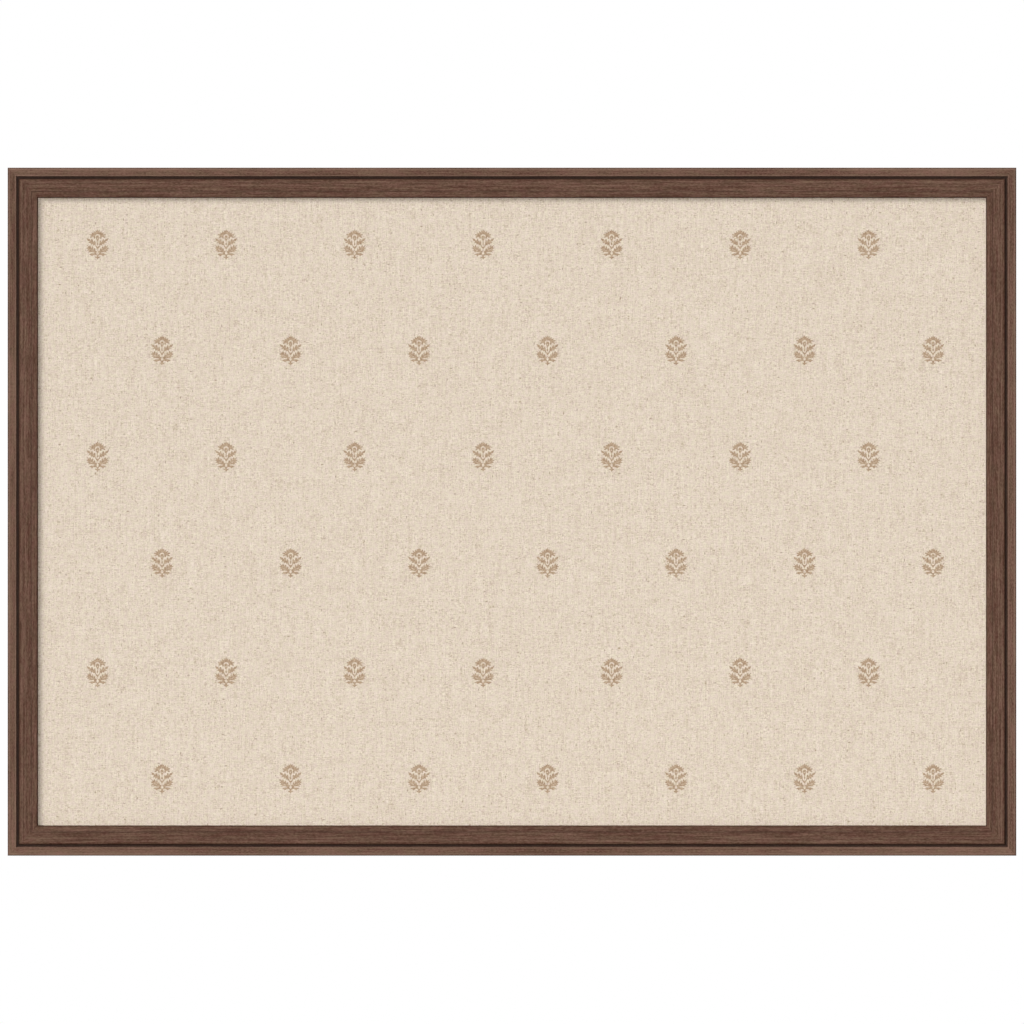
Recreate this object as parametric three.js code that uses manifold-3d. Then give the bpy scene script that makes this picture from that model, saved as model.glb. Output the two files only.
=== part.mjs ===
// A framed linen pin board that hangs on a wall, in millimetres.
//
// Four mitred rails of walnut-stained moulding hold a panel of cork on fibreboard, wrapped in
// printed linen. A hardboard back closes the rebate behind it, and two D-ring hangers carry it.
// X runs along the board's width, Z is up, and Y runs from the linen face to the wall.
// Left and right are as seen from the front.

import * as THREE from 'three';
import { mergeVertices } from 'three/addons/utils/BufferGeometryUtils.js';
import Module from 'manifold-3d';

// The wrapped panel
const panelWidth = 914.4;
const panelHeight = 609.6;
const linenThickness = 0.8;
const corkThickness = 5;
const fibreboardThickness = 6;
const turnInWidth = 34;
const turnInSlit = 0.8;

// The moulding's section, from its outer edge to the edge beside the linen
const mouldingWidth = 28.6;
const mouldingDepth = 28.6;
const filletWidth = 8.1;
const filletRadius = 0.5;
const outerRadius = 1.2;
const grooveWidth = 2;
const grooveDepth = 5;
const bandDrop = 1.2;
const shoulderRadius = 2.4;
const sightRadius = 1.5;
const backRadius = 0.6;
const lipBack = 8;
const lipCover = 6.35;
const panelClearance = 0.8;

// The wedge-shaped steel nails that pull each mitre together, driven from the back
const cornerNailLeg = 6.4;
const cornerNailCurl = 1.5;
const cornerNailThickness = 0.6;
const cornerNailHeight = 11;
const cornerNailShares = [0.24, 0.66];
const woodSlotClearance = 0.2;

// The staples that hold the linen's turn-ins
const stapleCrown = 10;
const stapleLeg = 5;
const stapleWireWidth = 1.2;
const stapleWireThickness = 0.7;
const stapleInset = 17;

// The hardboard back and the spade-shaped points that hold it in the rebate
const backingThickness = 3.2;
const backingClearance = 1.2;
const pointWidth = 5.6;
const pointThickness = 0.5;
const pointReach = 8.5;
const pointEmbed = 6;
const pointsAlongWidth = 5;
const pointsAlongHeight = 3;

// The D-ring hangers, one on each upright rail
const hangerHeightShare = 0.5;
const strapWidth = 12.7;
const strapLength = 38;
const strapThickness = 1;
const curlGap = 0.3;
const ringWire = 2.2;
const ringEyeClearance = 0.25;
const ringSideClearance = 0.6;
const ringCornerRadius = 2.2;
const ringSeam = 0.4;
const firstScrewDrop = 18;
const screwSpacing = 13;

// The pan-head screws
const screwHeadDiameter = 6.6;
const screwHeadHeight = 2.1;
const screwHeadRim = 0.7;
const screwShank = 3.2;
const screwLength = 12;
const screwTip = 3.5;
const screwHoleClearance = 0.3;
const pilotClearance = 0.15;
const recessSpan = 3.6;
const recessSlot = 0.8;
const recessDepth = 1.3;

// The rubber bumpers at the two lower corners
const bumperDiameter = 11;
const bumperHeight = 5;
const bumperFlat = 6;
const bumperRim = 1.8;
const bumperInset = 48;

// How far a cutting solid runs past what it cuts
const overrun = 1;

// Facets
const arcSteps = 3;
const roundSides = 20;
const wireSides = 6;
const ringSteps = 56;

// Sizes worked out from the ones above
const frameWidth = panelWidth - 2 * lipCover + 2 * mouldingWidth;
const frameHeight = panelHeight - 2 * lipCover + 2 * mouldingWidth;
const rebateWidth = lipCover + panelClearance;
const backFaceWidth = mouldingWidth - rebateWidth;
const corkFront = lipBack + linenThickness;
const corkBack = corkFront + corkThickness;
const fibreboardBack = corkBack + fibreboardThickness;
const turnInBack = fibreboardBack + linenThickness;
const backingFront = turnInBack + stapleWireThickness;
const backingBack = backingFront + backingThickness;
const pointBack = backingBack + pointThickness;
const ringRadius = ringWire / 2;
const eyeInner = ringRadius + ringEyeClearance;
const eyeOuter = eyeInner + strapThickness;
const hangerX = frameWidth / 2 - backFaceWidth / 2;
const hangerZ = hangerHeightShare * frameHeight / 2;

// The four sides, each met by turning the top one about the board's depth axis. A side runs
// from -along to along, and its outer edge lies at across from the board's middle.
const sides = ['top', 'right', 'bottom', 'left'].map((name, turns) => {
  const upright = turns % 2 === 1;
  return {
    name,
    turns,
    along: (upright ? frameHeight : frameWidth) / 2,
    across: (upright ? frameWidth : frameHeight) / 2,
    points: upright ? pointsAlongHeight : pointsAlongWidth,
  };
});

const wasm = await Module();
wasm.setup();

// Materials

const walnutStain = new THREE.MeshStandardMaterial({ color: 0x6a4c3e, roughness: 0.62, metalness: 0 });
const linen = new THREE.MeshStandardMaterial({ color: 0xe1d3bf, roughness: 0.95, metalness: 0 });
const cork = new THREE.MeshStandardMaterial({ color: 0xb98a5b, roughness: 0.95, metalness: 0 });
const fibreboard = new THREE.MeshStandardMaterial({ color: 0xa38a6b, roughness: 0.9, metalness: 0 });
const hardboard = new THREE.MeshStandardMaterial({ color: 0x7a5a3f, roughness: 0.75, metalness: 0 });
const brightSteel = new THREE.MeshStandardMaterial({ color: 0xb9bcc0, roughness: 0.38, metalness: 1 });
const springSteel = new THREE.MeshStandardMaterial({ color: 0x8d9096, roughness: 0.45, metalness: 1 });
const rubber = new THREE.MeshStandardMaterial({ color: 0x23211f, roughness: 0.85, metalness: 0 });

// Geometry helpers

// Sends each point (x, y, z) of a geometry to the place that map gives it.
function remap(geometry, map) {
  const points = geometry.getAttribute('position');
  for (let i = 0; i < points.count; i += 1) {
    points.setXYZ(i, ...map(points.getX(i), points.getY(i), points.getZ(i)));
  }
  geometry.computeVertexNormals();
  return geometry;
}

// Turns a point of the top side to another side, by quarter turns that leave no rounding.
function turned(turns, x, y, z) {
  return [[x, y, z], [z, y, -x], [-x, y, -z], [-z, y, x]][turns];
}

// Puts a geometry made for the top side on another side.
function onSide(side, geometry) {
  return remap(geometry, (x, y, z) => turned(side.turns, x, y, z));
}

// An outline one unit thick, for remap to give its real thickness.
function extruded(outline) {
  return new THREE.ExtrudeGeometry(outline, { depth: 1, bevelEnabled: false, curveSegments: arcSteps });
}

// An outline drawn in X and Z, given thickness from front to back.
function slab(outline, front, back) {
  return remap(extruded(outline), (x, y, z) => [x, z > 0 ? front : back, y]);
}

// An outline drawn in Y and Z, given width along X.
function strip(outline, width) {
  return remap(extruded(outline), (x, y, z) => [z > 0 ? width / 2 : -width / 2, x, y]);
}

function polygon(points) {
  return new THREE.Shape(points.map(([x, y]) => new THREE.Vector2(x, y)));
}

function rectangle(left, bottom, right, top) {
  return polygon([[left, bottom], [right, bottom], [right, top], [left, top]]);
}

function centredRectangle(width, height) {
  return rectangle(-width / 2, -height / 2, width / 2, height / 2);
}

// The panel's outline, drawn in by an inset on every side.
function panelOutline(inset) {
  return centredRectangle(panelWidth - 2 * inset, panelHeight - 2 * inset);
}

function toSolid(geometry) {
  const bare = geometry.index ? geometry.toNonIndexed() : geometry.clone();
  bare.deleteAttribute('normal');
  bare.deleteAttribute('uv');
  const merged = mergeVertices(bare);
  return new wasm.Manifold(new wasm.Mesh({
    numProp: 3,
    vertProperties: merged.getAttribute('position').array,
    triVerts: new Uint32Array(merged.index.array),
  }));
}

function toGeometry(solid) {
  const mesh = solid.getMesh();
  const geometry = new THREE.BufferGeometry();
  geometry.setAttribute('position', new THREE.BufferAttribute(mesh.vertProperties, 3));
  geometry.setIndex(new THREE.BufferAttribute(mesh.triVerts, 1));
  geometry.computeVertexNormals();
  return geometry;
}

// Cuts every tool out of a geometry.
function carve(geometry, tools) {
  return toGeometry(tools.reduce((solid, tool) => solid.subtract(toSolid(tool)), toSolid(geometry)));
}

// The places of a number of pieces spread evenly along a length, centred on zero.
function spread(count, length) {
  return Array.from({ length: count }, (_, i) => ((i + 0.5) / count - 0.5) * length);
}

// The board's pieces hang in one group, whose origin is the middle of the whole board.
const board = new THREE.Group();
const assembly = new THREE.Group();
assembly.position.y = -(mouldingDepth + bumperHeight) / 2;
board.add(assembly);

function place(name, geometry, material, x = 0, y = 0, z = 0) {
  const mesh = new THREE.Mesh(geometry, material);
  mesh.name = name;
  mesh.position.set(x, y, z);
  assembly.add(mesh);
  return mesh;
}

// The rails

// The moulding's section: inset from the outer edge, and depth from the front.
function mouldingSection() {
  const groove = filletWidth + grooveWidth;
  const quarter = Math.PI / 2;
  const section = new THREE.Shape();
  section.moveTo(backFaceWidth, mouldingDepth);
  section.lineTo(backRadius, mouldingDepth);
  section.absarc(backRadius, mouldingDepth - backRadius, backRadius, quarter, 2 * quarter);
  section.lineTo(0, outerRadius);
  section.absarc(outerRadius, outerRadius, outerRadius, 2 * quarter, 3 * quarter);
  section.lineTo(filletWidth - filletRadius, 0);
  section.absarc(filletWidth - filletRadius, filletRadius, filletRadius, 3 * quarter, 4 * quarter);
  section.lineTo(filletWidth, grooveDepth);
  section.lineTo(groove, grooveDepth);
  section.lineTo(groove, bandDrop + shoulderRadius);
  const shoulder = [groove + shoulderRadius, bandDrop + shoulderRadius];
  section.absarc(...shoulder, shoulderRadius, 2 * quarter, 3 * quarter);
  section.lineTo(mouldingWidth - sightRadius, bandDrop);
  const sight = [mouldingWidth - sightRadius, bandDrop + sightRadius];
  section.absarc(...sight, sightRadius, 3 * quarter, 4 * quarter);
  section.lineTo(mouldingWidth, lipBack);
  section.lineTo(backFaceWidth, lipBack);
  return section;
}

// One length of moulding, whose ends lean in with the inset, which mitres them.
function mitredRail(side) {
  return remap(extruded(mouldingSection()), (inset, depth, end) => turned(
    side.turns,
    end > 0 ? side.along - inset : inset - side.along,
    depth,
    side.across - inset,
  ));
}

// The corner nails

// The nail's outline seen from the back, at the right end of a side: an angle with curled ends.
function cornerNailOutline(side, share, grow) {
  const x = side.along - share * backFaceWidth;
  const z = side.across - share * backFaceWidth;
  const outer = -grow;
  const inner = cornerNailThickness + grow;
  const end = cornerNailLeg + grow;
  const curl = cornerNailCurl + grow;
  const neck = cornerNailLeg - inner;
  const legs = [
    [outer, outer], [end, outer], [end, curl], [neck, curl], [neck, inner],
    [inner, inner], [inner, neck], [curl, neck], [curl, end], [outer, end],
  ];
  return polygon(legs.map(([a, b]) => [x - a, z - b]));
}

function cornerNailSlot(side, share) {
  const outline = cornerNailOutline(side, share, woodSlotClearance);
  const front = mouldingDepth - cornerNailHeight - woodSlotClearance;
  return onSide(side, slab(outline, front, mouldingDepth + overrun));
}

function cornerNail(side, share) {
  const front = mouldingDepth - cornerNailHeight;
  return onSide(side, slab(cornerNailOutline(side, share, 0), front, mouldingDepth));
}

// The framing points

// A spade: its tip is driven into the rebate's wall, and its round end lies over the back.
function framingPoint(side, x) {
  const wall = side.across - backFaceWidth;
  const half = pointWidth / 2;
  const heel = wall - pointReach + half;
  const spade = new THREE.Shape();
  spade.moveTo(x, wall + pointEmbed);
  spade.lineTo(x - half, wall + pointEmbed - half);
  spade.lineTo(x - half, heel);
  spade.absarc(x, heel, half, Math.PI, 2 * Math.PI);
  spade.lineTo(x + half, wall + pointEmbed - half);
  return onSide(side, slab(spade, backingBack, pointBack));
}

function framingPointSlot(side, x) {
  const wall = side.across - backFaceWidth;
  const half = pointWidth / 2 + woodSlotClearance;
  const slot = rectangle(x - half, wall - overrun, x + half, wall + pointEmbed + woodSlotClearance);
  return onSide(side, slab(slot, backingBack - woodSlotClearance, pointBack + woodSlotClearance));
}

// The wrapped panel

// Half the panel along a side, and half of it across.
function panelHalf(side) {
  const inset = mouldingWidth - lipCover;
  return { along: side.along - inset, across: side.across - inset };
}

// The slit where two turn-ins meet, folded at 45 degrees from the panel's corner.
function cornerSlit(side) {
  const { along, across } = panelHalf(side);
  const start = turnInWidth + overrun;
  const slit = polygon([
    [along - start, across - start],
    [along - linenThickness, across - linenThickness],
    [along - linenThickness - turnInSlit, across - linenThickness],
    [along - start - turnInSlit, across - start],
  ]);
  return onSide(side, slab(slit, fibreboardBack, turnInBack + overrun));
}

// A staple lies along its side, with its crown on the turn-in and both legs in the fibreboard.
function staple(side, x) {
  const crown = stapleCrown / 2;
  const inner = crown - stapleWireThickness;
  const tip = backingFront - stapleWireThickness - stapleLeg;
  const z = panelHalf(side).across - stapleInset;
  const wire = polygon([
    [-crown, backingFront], [-crown, tip], [-inner, tip], [-inner, turnInBack],
    [inner, turnInBack], [inner, tip], [crown, tip], [crown, backingFront],
  ]);
  return onSide(side, remap(extruded(wire), (along, depth, width) => [
    x + along,
    depth,
    width > 0 ? z + stapleWireWidth / 2 : z - stapleWireWidth / 2,
  ]));
}

function stapleHoles(side, x) {
  const crown = stapleCrown / 2 + woodSlotClearance;
  const inner = stapleCrown / 2 - stapleWireThickness - woodSlotClearance;
  const half = stapleWireWidth / 2 + woodSlotClearance;
  const z = panelHalf(side).across - stapleInset;
  const tip = backingFront - stapleWireThickness - stapleLeg - woodSlotClearance;
  const outlines = [
    rectangle(x - crown, z - half, x - inner, z + half),
    rectangle(x + inner, z - half, x + crown, z + half),
  ];
  return outlines.map((outline) => onSide(side, slab(outline, tip, turnInBack + overrun)));
}

function innerBoard(front, back) {
  return slab(panelOutline(linenThickness), front, back);
}

// The linen is folded round the edges of the boards and turned in on the back.
function linenCover(holes) {
  const wrapped = slab(panelOutline(0), lipBack, turnInBack);
  const boards = innerBoard(corkFront, fibreboardBack);
  const window = slab(panelOutline(turnInWidth), corkBack, turnInBack + overrun);
  return carve(wrapped, [boards, window, ...sides.map(cornerSlit), ...holes]);
}

function backingBoard() {
  return slab(panelOutline(backingClearance - panelClearance), backingFront, backingBack);
}

// The hangers

// The strap from the side: a plate on the wood, curled at its top end round the ring's bar.
function strapSide() {
  const curlEnd = Math.acos((strapThickness + curlGap) / eyeOuter - 1);
  const side = new THREE.Shape();
  side.moveTo(0, -strapLength);
  side.lineTo(0, 0);
  side.absarc(eyeOuter, 0, eyeOuter, Math.PI, -curlEnd, true);
  side.absarc(eyeOuter, 0, eyeInner, -curlEnd, Math.PI, false);
  side.lineTo(strapThickness, -strapLength);
  return side;
}

// The strap from the back: its lower end is a half round.
function strapFace() {
  const half = strapWidth / 2;
  const top = eyeOuter + overrun;
  const face = new THREE.Shape();
  face.moveTo(half, top);
  face.lineTo(-half, top);
  face.lineTo(-half, half - strapLength);
  face.absarc(0, half - strapLength, half, Math.PI, 2 * Math.PI);
  return face;
}

// The heights of the two screws, below the ring's bar.
const screwDrops = [-firstScrewDrop, -firstScrewDrop - screwSpacing];

// A round plug along the depth axis, for holes.
function plug(diameter, front, back, x, z) {
  const geometry = new THREE.CylinderGeometry(diameter / 2, diameter / 2, back - front, roundSides);
  return remap(geometry, (px, py, pz) => [px + x, py + (front + back) / 2, pz + z]);
}

function hangerStrap() {
  const side = strip(strapSide(), strapWidth);
  const face = slab(strapFace(), -overrun, 2 * eyeOuter + overrun);
  const hole = screwShank + 2 * screwHoleClearance;
  const holes = screwDrops.map((z) => plug(hole, -overrun, strapThickness + overrun, 0, z));
  return carve(toGeometry(toSolid(side).intersect(toSolid(face))), holes);
}

// The middle line of the ring's wire: a straight bar, two tight bends and a half-round bow.
class RingLine extends THREE.Curve {
  constructor() {
    super();
    const bar = strapWidth / 2 + ringSideClearance;
    const bow = bar + ringCornerRadius;
    this.outline = new THREE.Path();
    this.outline.moveTo(ringSeam / 2, 0);
    this.outline.lineTo(bar, 0);
    this.outline.absarc(bar, -ringCornerRadius, ringCornerRadius, Math.PI / 2, 0, true);
    this.outline.absarc(0, -ringCornerRadius, bow, 0, -Math.PI, true);
    this.outline.absarc(-bar, -ringCornerRadius, ringCornerRadius, Math.PI, Math.PI / 2, true);
    this.outline.lineTo(-ringSeam / 2, 0);
  }

  getPoint(t, target = new THREE.Vector3()) {
    const at = this.outline.getPointAt(t);
    return target.set(at.x, 0, at.y);
  }
}

function dRing() {
  const wire = new THREE.Shape();
  wire.absarc(0, 0, ringRadius, 0, 2 * Math.PI);
  return new THREE.ExtrudeGeometry(wire, {
    steps: ringSteps,
    curveSegments: wireSides,
    extrudePath: new RingLine(),
  });
}

// A pan-head screw with a cross recess, its head towards the wall and its point in the wood.
function hangerScrew() {
  const head = screwHeadDiameter / 2;
  const shank = screwShank / 2;
  const dome = screwHeadHeight - screwHeadRim;
  const profile = new THREE.Path();
  profile.moveTo(0, -screwLength);
  profile.lineTo(shank, screwTip - screwLength);
  profile.lineTo(shank, 0);
  profile.lineTo(head, 0);
  profile.lineTo(head, screwHeadRim);
  profile.absellipse(0, screwHeadRim, head, dome, 0, Math.PI / 2, false, 0);
  const turnedScrew = new THREE.LatheGeometry(profile.getPoints(arcSteps), roundSides);
  const slots = [[recessSpan, recessSlot], [recessSlot, recessSpan]].map(([wide, high]) => (
    slab(centredRectangle(wide, high), screwHeadHeight - recessDepth, screwHeadHeight + overrun)
  ));
  return carve(turnedScrew, slots);
}

function bumper() {
  const profile = new THREE.Path();
  profile.moveTo(0, 0);
  profile.lineTo(bumperDiameter / 2, 0);
  profile.lineTo(bumperDiameter / 2, bumperRim);
  profile.quadraticCurveTo(bumperDiameter / 2, bumperHeight, bumperFlat / 2, bumperHeight);
  profile.lineTo(0, bumperHeight);
  return new THREE.LatheGeometry(profile.getPoints(2 * arcSteps), roundSides);
}

// The places along each side

const pointPlaces = sides.map((side) => spread(side.points, 2 * panelHalf(side).along));
const staplePlaces = sides.map((side) => spread(side.points, 2 * (panelHalf(side).along - turnInWidth)));
const hangers = [{ name: 'left', x: -hangerX }, { name: 'right', x: hangerX }];

// The board, from the front to the back

sides.forEach((side, i) => {
  const before = sides[(i + sides.length - 1) % sides.length];
  const cuts = [
    ...cornerNailShares.map((share) => cornerNailSlot(side, share)),
    ...cornerNailShares.map((share) => cornerNailSlot(before, share)),
    ...pointPlaces[i].map((x) => framingPointSlot(side, x)),
  ];
  const hanger = hangers.find(({ name }) => name === side.name);
  if (hanger) {
    const diameter = screwShank + 2 * pilotClearance;
    const front = mouldingDepth + strapThickness - screwLength - pilotClearance;
    const pilots = screwDrops.map((drop) => (
      plug(diameter, front, mouldingDepth + overrun, hanger.x, hangerZ + drop)
    ));
    cuts.push(...pilots);
  }
  place(`${side.name}_rail`, carve(mitredRail(side), cuts), walnutStain);
});

sides.forEach((side, i) => {
  const corner = ['top_right', 'bottom_right', 'bottom_left', 'top_left'][i];
  cornerNailShares.forEach((share, n) => {
    const label = `corner_nail_${corner}_${['outer', 'inner'][n]}`;
    place(label, cornerNail(side, share), springSteel);
  });
});

const stapleCuts = sides.flatMap((side, i) => staplePlaces[i].flatMap((x) => stapleHoles(side, x)));
place('linen_cover', linenCover(stapleCuts), linen);
place('cork_sheet', innerBoard(corkFront, corkBack), cork);
place('fibreboard_core', carve(innerBoard(corkBack, fibreboardBack), stapleCuts), fibreboard);
sides.forEach((side, i) => staplePlaces[i].forEach((x, n) => {
  place(`staple_${side.name}_${n + 1}`, staple(side, x), brightSteel);
}));

place('backing_board', backingBoard(), hardboard);
sides.forEach((side, i) => pointPlaces[i].forEach((x, n) => {
  place(`framing_point_${side.name}_${n + 1}`, framingPoint(side, x), springSteel);
}));

hangers.forEach(({ name, x }) => {
  place(`hanger_strap_${name}`, hangerStrap(), brightSteel, x, mouldingDepth, hangerZ);
  place(`d_ring_${name}`, dRing(), brightSteel, x, mouldingDepth + eyeOuter, hangerZ);
  screwDrops.forEach((drop, n) => {
    const label = `hanger_screw_${name}_${['upper', 'lower'][n]}`;
    place(label, hangerScrew(), brightSteel, x, mouldingDepth + strapThickness, hangerZ + drop);
  });
  const bumperX = Math.sign(x) * (frameWidth / 2 - bumperInset);
  place(`bumper_${name}`, bumper(), rubber, bumperX, mouldingDepth, backFaceWidth / 2 - frameHeight / 2);
});

export default board;
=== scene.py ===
import math

import bmesh
import bpy
from mathutils import Matrix, Vector


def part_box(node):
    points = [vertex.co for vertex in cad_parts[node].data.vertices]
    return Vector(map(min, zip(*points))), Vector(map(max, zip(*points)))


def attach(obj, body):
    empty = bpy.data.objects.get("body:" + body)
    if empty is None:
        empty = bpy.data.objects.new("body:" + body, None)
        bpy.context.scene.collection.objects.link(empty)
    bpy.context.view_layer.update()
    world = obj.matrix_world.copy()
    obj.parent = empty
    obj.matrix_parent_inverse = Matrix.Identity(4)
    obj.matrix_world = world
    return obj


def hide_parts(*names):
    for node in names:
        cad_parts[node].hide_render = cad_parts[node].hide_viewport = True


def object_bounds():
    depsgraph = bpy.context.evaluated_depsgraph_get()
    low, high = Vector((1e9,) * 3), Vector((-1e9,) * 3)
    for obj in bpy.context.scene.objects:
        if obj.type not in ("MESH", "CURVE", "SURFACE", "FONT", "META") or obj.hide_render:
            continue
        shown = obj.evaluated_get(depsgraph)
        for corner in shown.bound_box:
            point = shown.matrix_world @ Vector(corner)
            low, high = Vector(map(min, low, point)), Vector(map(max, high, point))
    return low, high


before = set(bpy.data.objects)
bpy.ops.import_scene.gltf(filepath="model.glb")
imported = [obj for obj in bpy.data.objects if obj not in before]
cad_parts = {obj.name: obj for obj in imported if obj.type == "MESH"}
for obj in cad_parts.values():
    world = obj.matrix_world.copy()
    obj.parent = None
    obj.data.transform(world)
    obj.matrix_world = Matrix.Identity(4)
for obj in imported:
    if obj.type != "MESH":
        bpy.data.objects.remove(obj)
cad_low, cad_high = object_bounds()

# The studio. The board hangs in front of a white ground, well above a round pale floor, and
# is seen straight from the front through a long lens. A broad lamp from the upper left and
# a smaller one from the front light its face, and two behind light its back and its edges.

photo_width = 0.97345
camera_distance = 12
camera_drop = 0.0003
sensor_width = 36
focal_length = sensor_width * camera_distance / photo_width
far_clip = 100

bpy.ops.object.camera_add(
    location=(0, cad_low.y - camera_distance, -camera_drop),
    rotation=(math.radians(90), 0, 0),
)
camera = bpy.context.object
camera.name = "camera"
camera.data.sensor_width = sensor_width
camera.data.lens = focal_length
camera.data.clip_end = far_clip
bpy.context.scene.camera = camera
bpy.context.scene.view_settings.view_transform = "Standard"


def lamp(name, light, spread, shines):
    """A far lamp that shines along a direction. Its light is a share of plain white and its
    spread is in degrees."""
    bpy.ops.object.light_add(type="SUN")
    made = bpy.context.object
    made.name = name
    made.rotation_euler = Vector(shines).to_track_quat("-Z", "Y").to_euler()
    made.data.energy = light * math.pi
    made.data.angle = math.radians(spread)


lamp("key_lamp", light=0.62, spread=38, shines=(0.66, 1, -0.56))
lamp("front_lamp", light=0.37, spread=12, shines=(0, 1, 0))
lamp("left_back_lamp", light=0.5, spread=40, shines=(0.75, -0.55, -0.5))
lamp("right_back_lamp", light=0.62, spread=40, shines=(-0.75, -0.55, -0.5))


class Wire:
    """A socket of a finish. A sum written with it adds its Math or Vector Math node."""

    def __init__(self, socket):
        self.socket = socket

    def node(self, kind, settings=None, sockets=None, gives=None):
        """Adds a node, sets it up, fills or links its sockets, and gives one of its outputs."""
        made = self.socket.id_data.nodes.new("ShaderNode" + kind)
        for name, value in (settings or {}).items():
            setattr(made, name, value)
        for socket in made.inputs:
            value = (sockets or {}).get(socket.identifier)
            if isinstance(value, Wire):
                self.socket.id_data.links.new(value.socket, socket)
            elif value is not None:
                socket.default_value = value
        outputs = {socket.identifier: socket for socket in made.outputs}
        return Wire(outputs[gives or next(iter(outputs))]) if outputs else None

    def other(self, name):
        """Another output of the node that this one comes from."""
        return Wire(self.socket.node.outputs[name])

    def maths(self, operation, *terms):
        vector = any(isinstance(term, Wire) and term.socket.type == "VECTOR" for term in terms)
        kind, first = ("VectorMath", "Vector") if vector else ("Math", "Value")
        places = (first, first + "_001", first + "_002")
        return self.node(kind, {"operation": operation}, dict(zip(places, terms)))

    def __add__(self, term):
        return self.maths("ADD", self, term)

    def __radd__(self, term):
        return self.maths("ADD", term, self)

    def __sub__(self, term):
        return self.maths("SUBTRACT", self, term)

    def __rsub__(self, term):
        return self.maths("SUBTRACT", term, self)

    def __mul__(self, term):
        return self.maths("MULTIPLY", self, term)

    def __rmul__(self, term):
        return self.maths("MULTIPLY", term, self)

    def most(self, term):
        return self.maths("MAXIMUM", self, term)

    def rise(self, low, high):
        """Goes from 0 to 1 as the value goes from low to high."""
        ends = {"Value": self, "From Min": low, "From Max": high}
        return self.node("MapRange", {"interpolation_type": "SMOOTHSTEP"}, ends)

    def blend(self, under, over):
        """The colour under, covered by the colour over where this value is 1."""
        colours = {"Factor_Float": self, "A_Color": under, "B_Color": over}
        return self.node("Mix", {"data_type": "RGBA"}, colours, "Result_Color")


def colour(red, green, blue):
    """A colour as a paint chart writes it, made the linear one that a shader takes."""
    parts = [part / 255 for part in (red, green, blue)]
    return (*[p / 12.92 if p <= 0.04045 else ((p + 0.055) / 1.055) ** 2.4 for p in parts], 1)


def finish(name):
    """An empty finish, and the place on the piece that its patterns are laid out by."""
    material = bpy.data.materials.new(name)
    material.use_nodes = True
    material.node_tree.nodes.clear()
    coordinates = material.node_tree.nodes.new("ShaderNodeTexCoord")
    return material, Wire(coordinates.outputs["Object"])


def seen_by(rays):
    """1 for the rays that a camera sees by, straight or in a reflection, and 0 for the rest."""
    return rays.most(rays.other("Is Glossy Ray")).most(rays.other("Is Transmission Ray"))


def paint(piece, material):
    """Gives a piece one finish, in place of any that it had."""
    piece.data.materials.clear()
    piece.data.materials.append(material)


ambient = 0.12
white = colour(255, 255, 255)
world = bpy.data.worlds.new("white_ground")
world.use_nodes = True
world.node_tree.nodes.clear()
rays = Wire(world.node_tree.nodes.new("ShaderNodeLightPath").outputs["Is Camera Ray"])
strength = ambient + (1 - ambient) * seen_by(rays)
ground = rays.node("Background", None, {"Color": white, "Strength": strength})
rays.node("OutputWorld", None, {"Surface": ground})
bpy.context.scene.world = world

floor_drop = 0.9
floor_radius = 2.6
floor_plain = 0.45
floor_sides = 96
bpy.ops.mesh.primitive_circle_add(
    vertices=floor_sides, radius=floor_radius, fill_type="NGON", location=(0, 0, -floor_drop)
)
floor = bpy.context.object
floor.name = "floor"
bpy.ops.object.transform_apply(location=True)
floor_paint, place = finish("floor_paint")
reach = place.maths("LENGTH", place * (1, 1, 0)).other("Value")
open_floor = reach.rise(floor_plain * floor_radius, floor_radius)
seen = seen_by(place.node("LightPath"))
pale = place.node("BsdfDiffuse", None, {"Color": colour(150, 149, 147)})
glow = place.node("Emission", None, {"Color": colour(214, 214, 214)})
lit = place.node("AddShader", None, {"Shader": pale, "Shader_001": glow})
plain = place.node("MixShader", None, {"Fac": seen, "Shader": pale, "Shader_001": lit})
blank = place.node("Emission", None, {"Color": white})
edge = place.node(
    "MixShader", None, {"Fac": open_floor * seen, "Shader": plain, "Shader_001": blank}
)
place.node("OutputMaterial", None, {"Surface": edge})
paint(floor, floor_paint)


# The four rails. Each is a length of stained walnut moulding, milled to a section with a
# fillet, a groove and a lower band, and rebated behind for the panel. It is slotted for the
# nails, which go in from behind, and then mitred at both ends.

mm = 0.001
moulding = 28.6 * mm
fillet = 8.1 * mm
groove = 2.0 * mm
groove_depth = 5.0 * mm
band_drop = 1.2 * mm
lip_depth = 8.0 * mm
rebate_wall = 21.45 * mm
nail_fit = 0.2 * mm
mitre_waste = 6 * mm
grain_step = 2.3
arc_steps = 6
pick_tolerance = 0.01 * mm
cut_tolerance = 0.001 * mm
half_width = cad_high.x
half_height = cad_high.z
face = cad_low.y

# Each rounded edge of the section: its inset from the outer edge, depth and radius.
rounded_edges = [
    (0, 0, 1.2 * mm),
    (fillet, 0, 0.3 * mm),
    (fillet + groove, band_drop, 2.4 * mm),
    (moulding, band_drop, 1.5 * mm),
    (0, moulding, 0.6 * mm),
]

# Long straight lines, the same in every length: the inset, half width and share of each.
# The dark ones are grain. Of the pale ones, the lines at 7.4 mm, just inside the fillet's
# edge, and at 13.7 mm, near the crest of the band's rounded shoulder, are painted highlights;
# the one at 16.8 mm is grain.
dark_lines = [
    (3.3 * mm, 0.7 * mm, 0.05),
    (6.2 * mm, 0.7 * mm, 0.12),
    (15.2 * mm, 0.7 * mm, 0.05),
    (22.5 * mm, 1.0 * mm, 0.3),
]
pale_grain_and_highlights = [
    (7.4 * mm, 0.8 * mm, 0.17),
    (13.7 * mm, 0.9 * mm, 0.1),
    (16.8 * mm, 1.0 * mm, 0.08),
]


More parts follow.
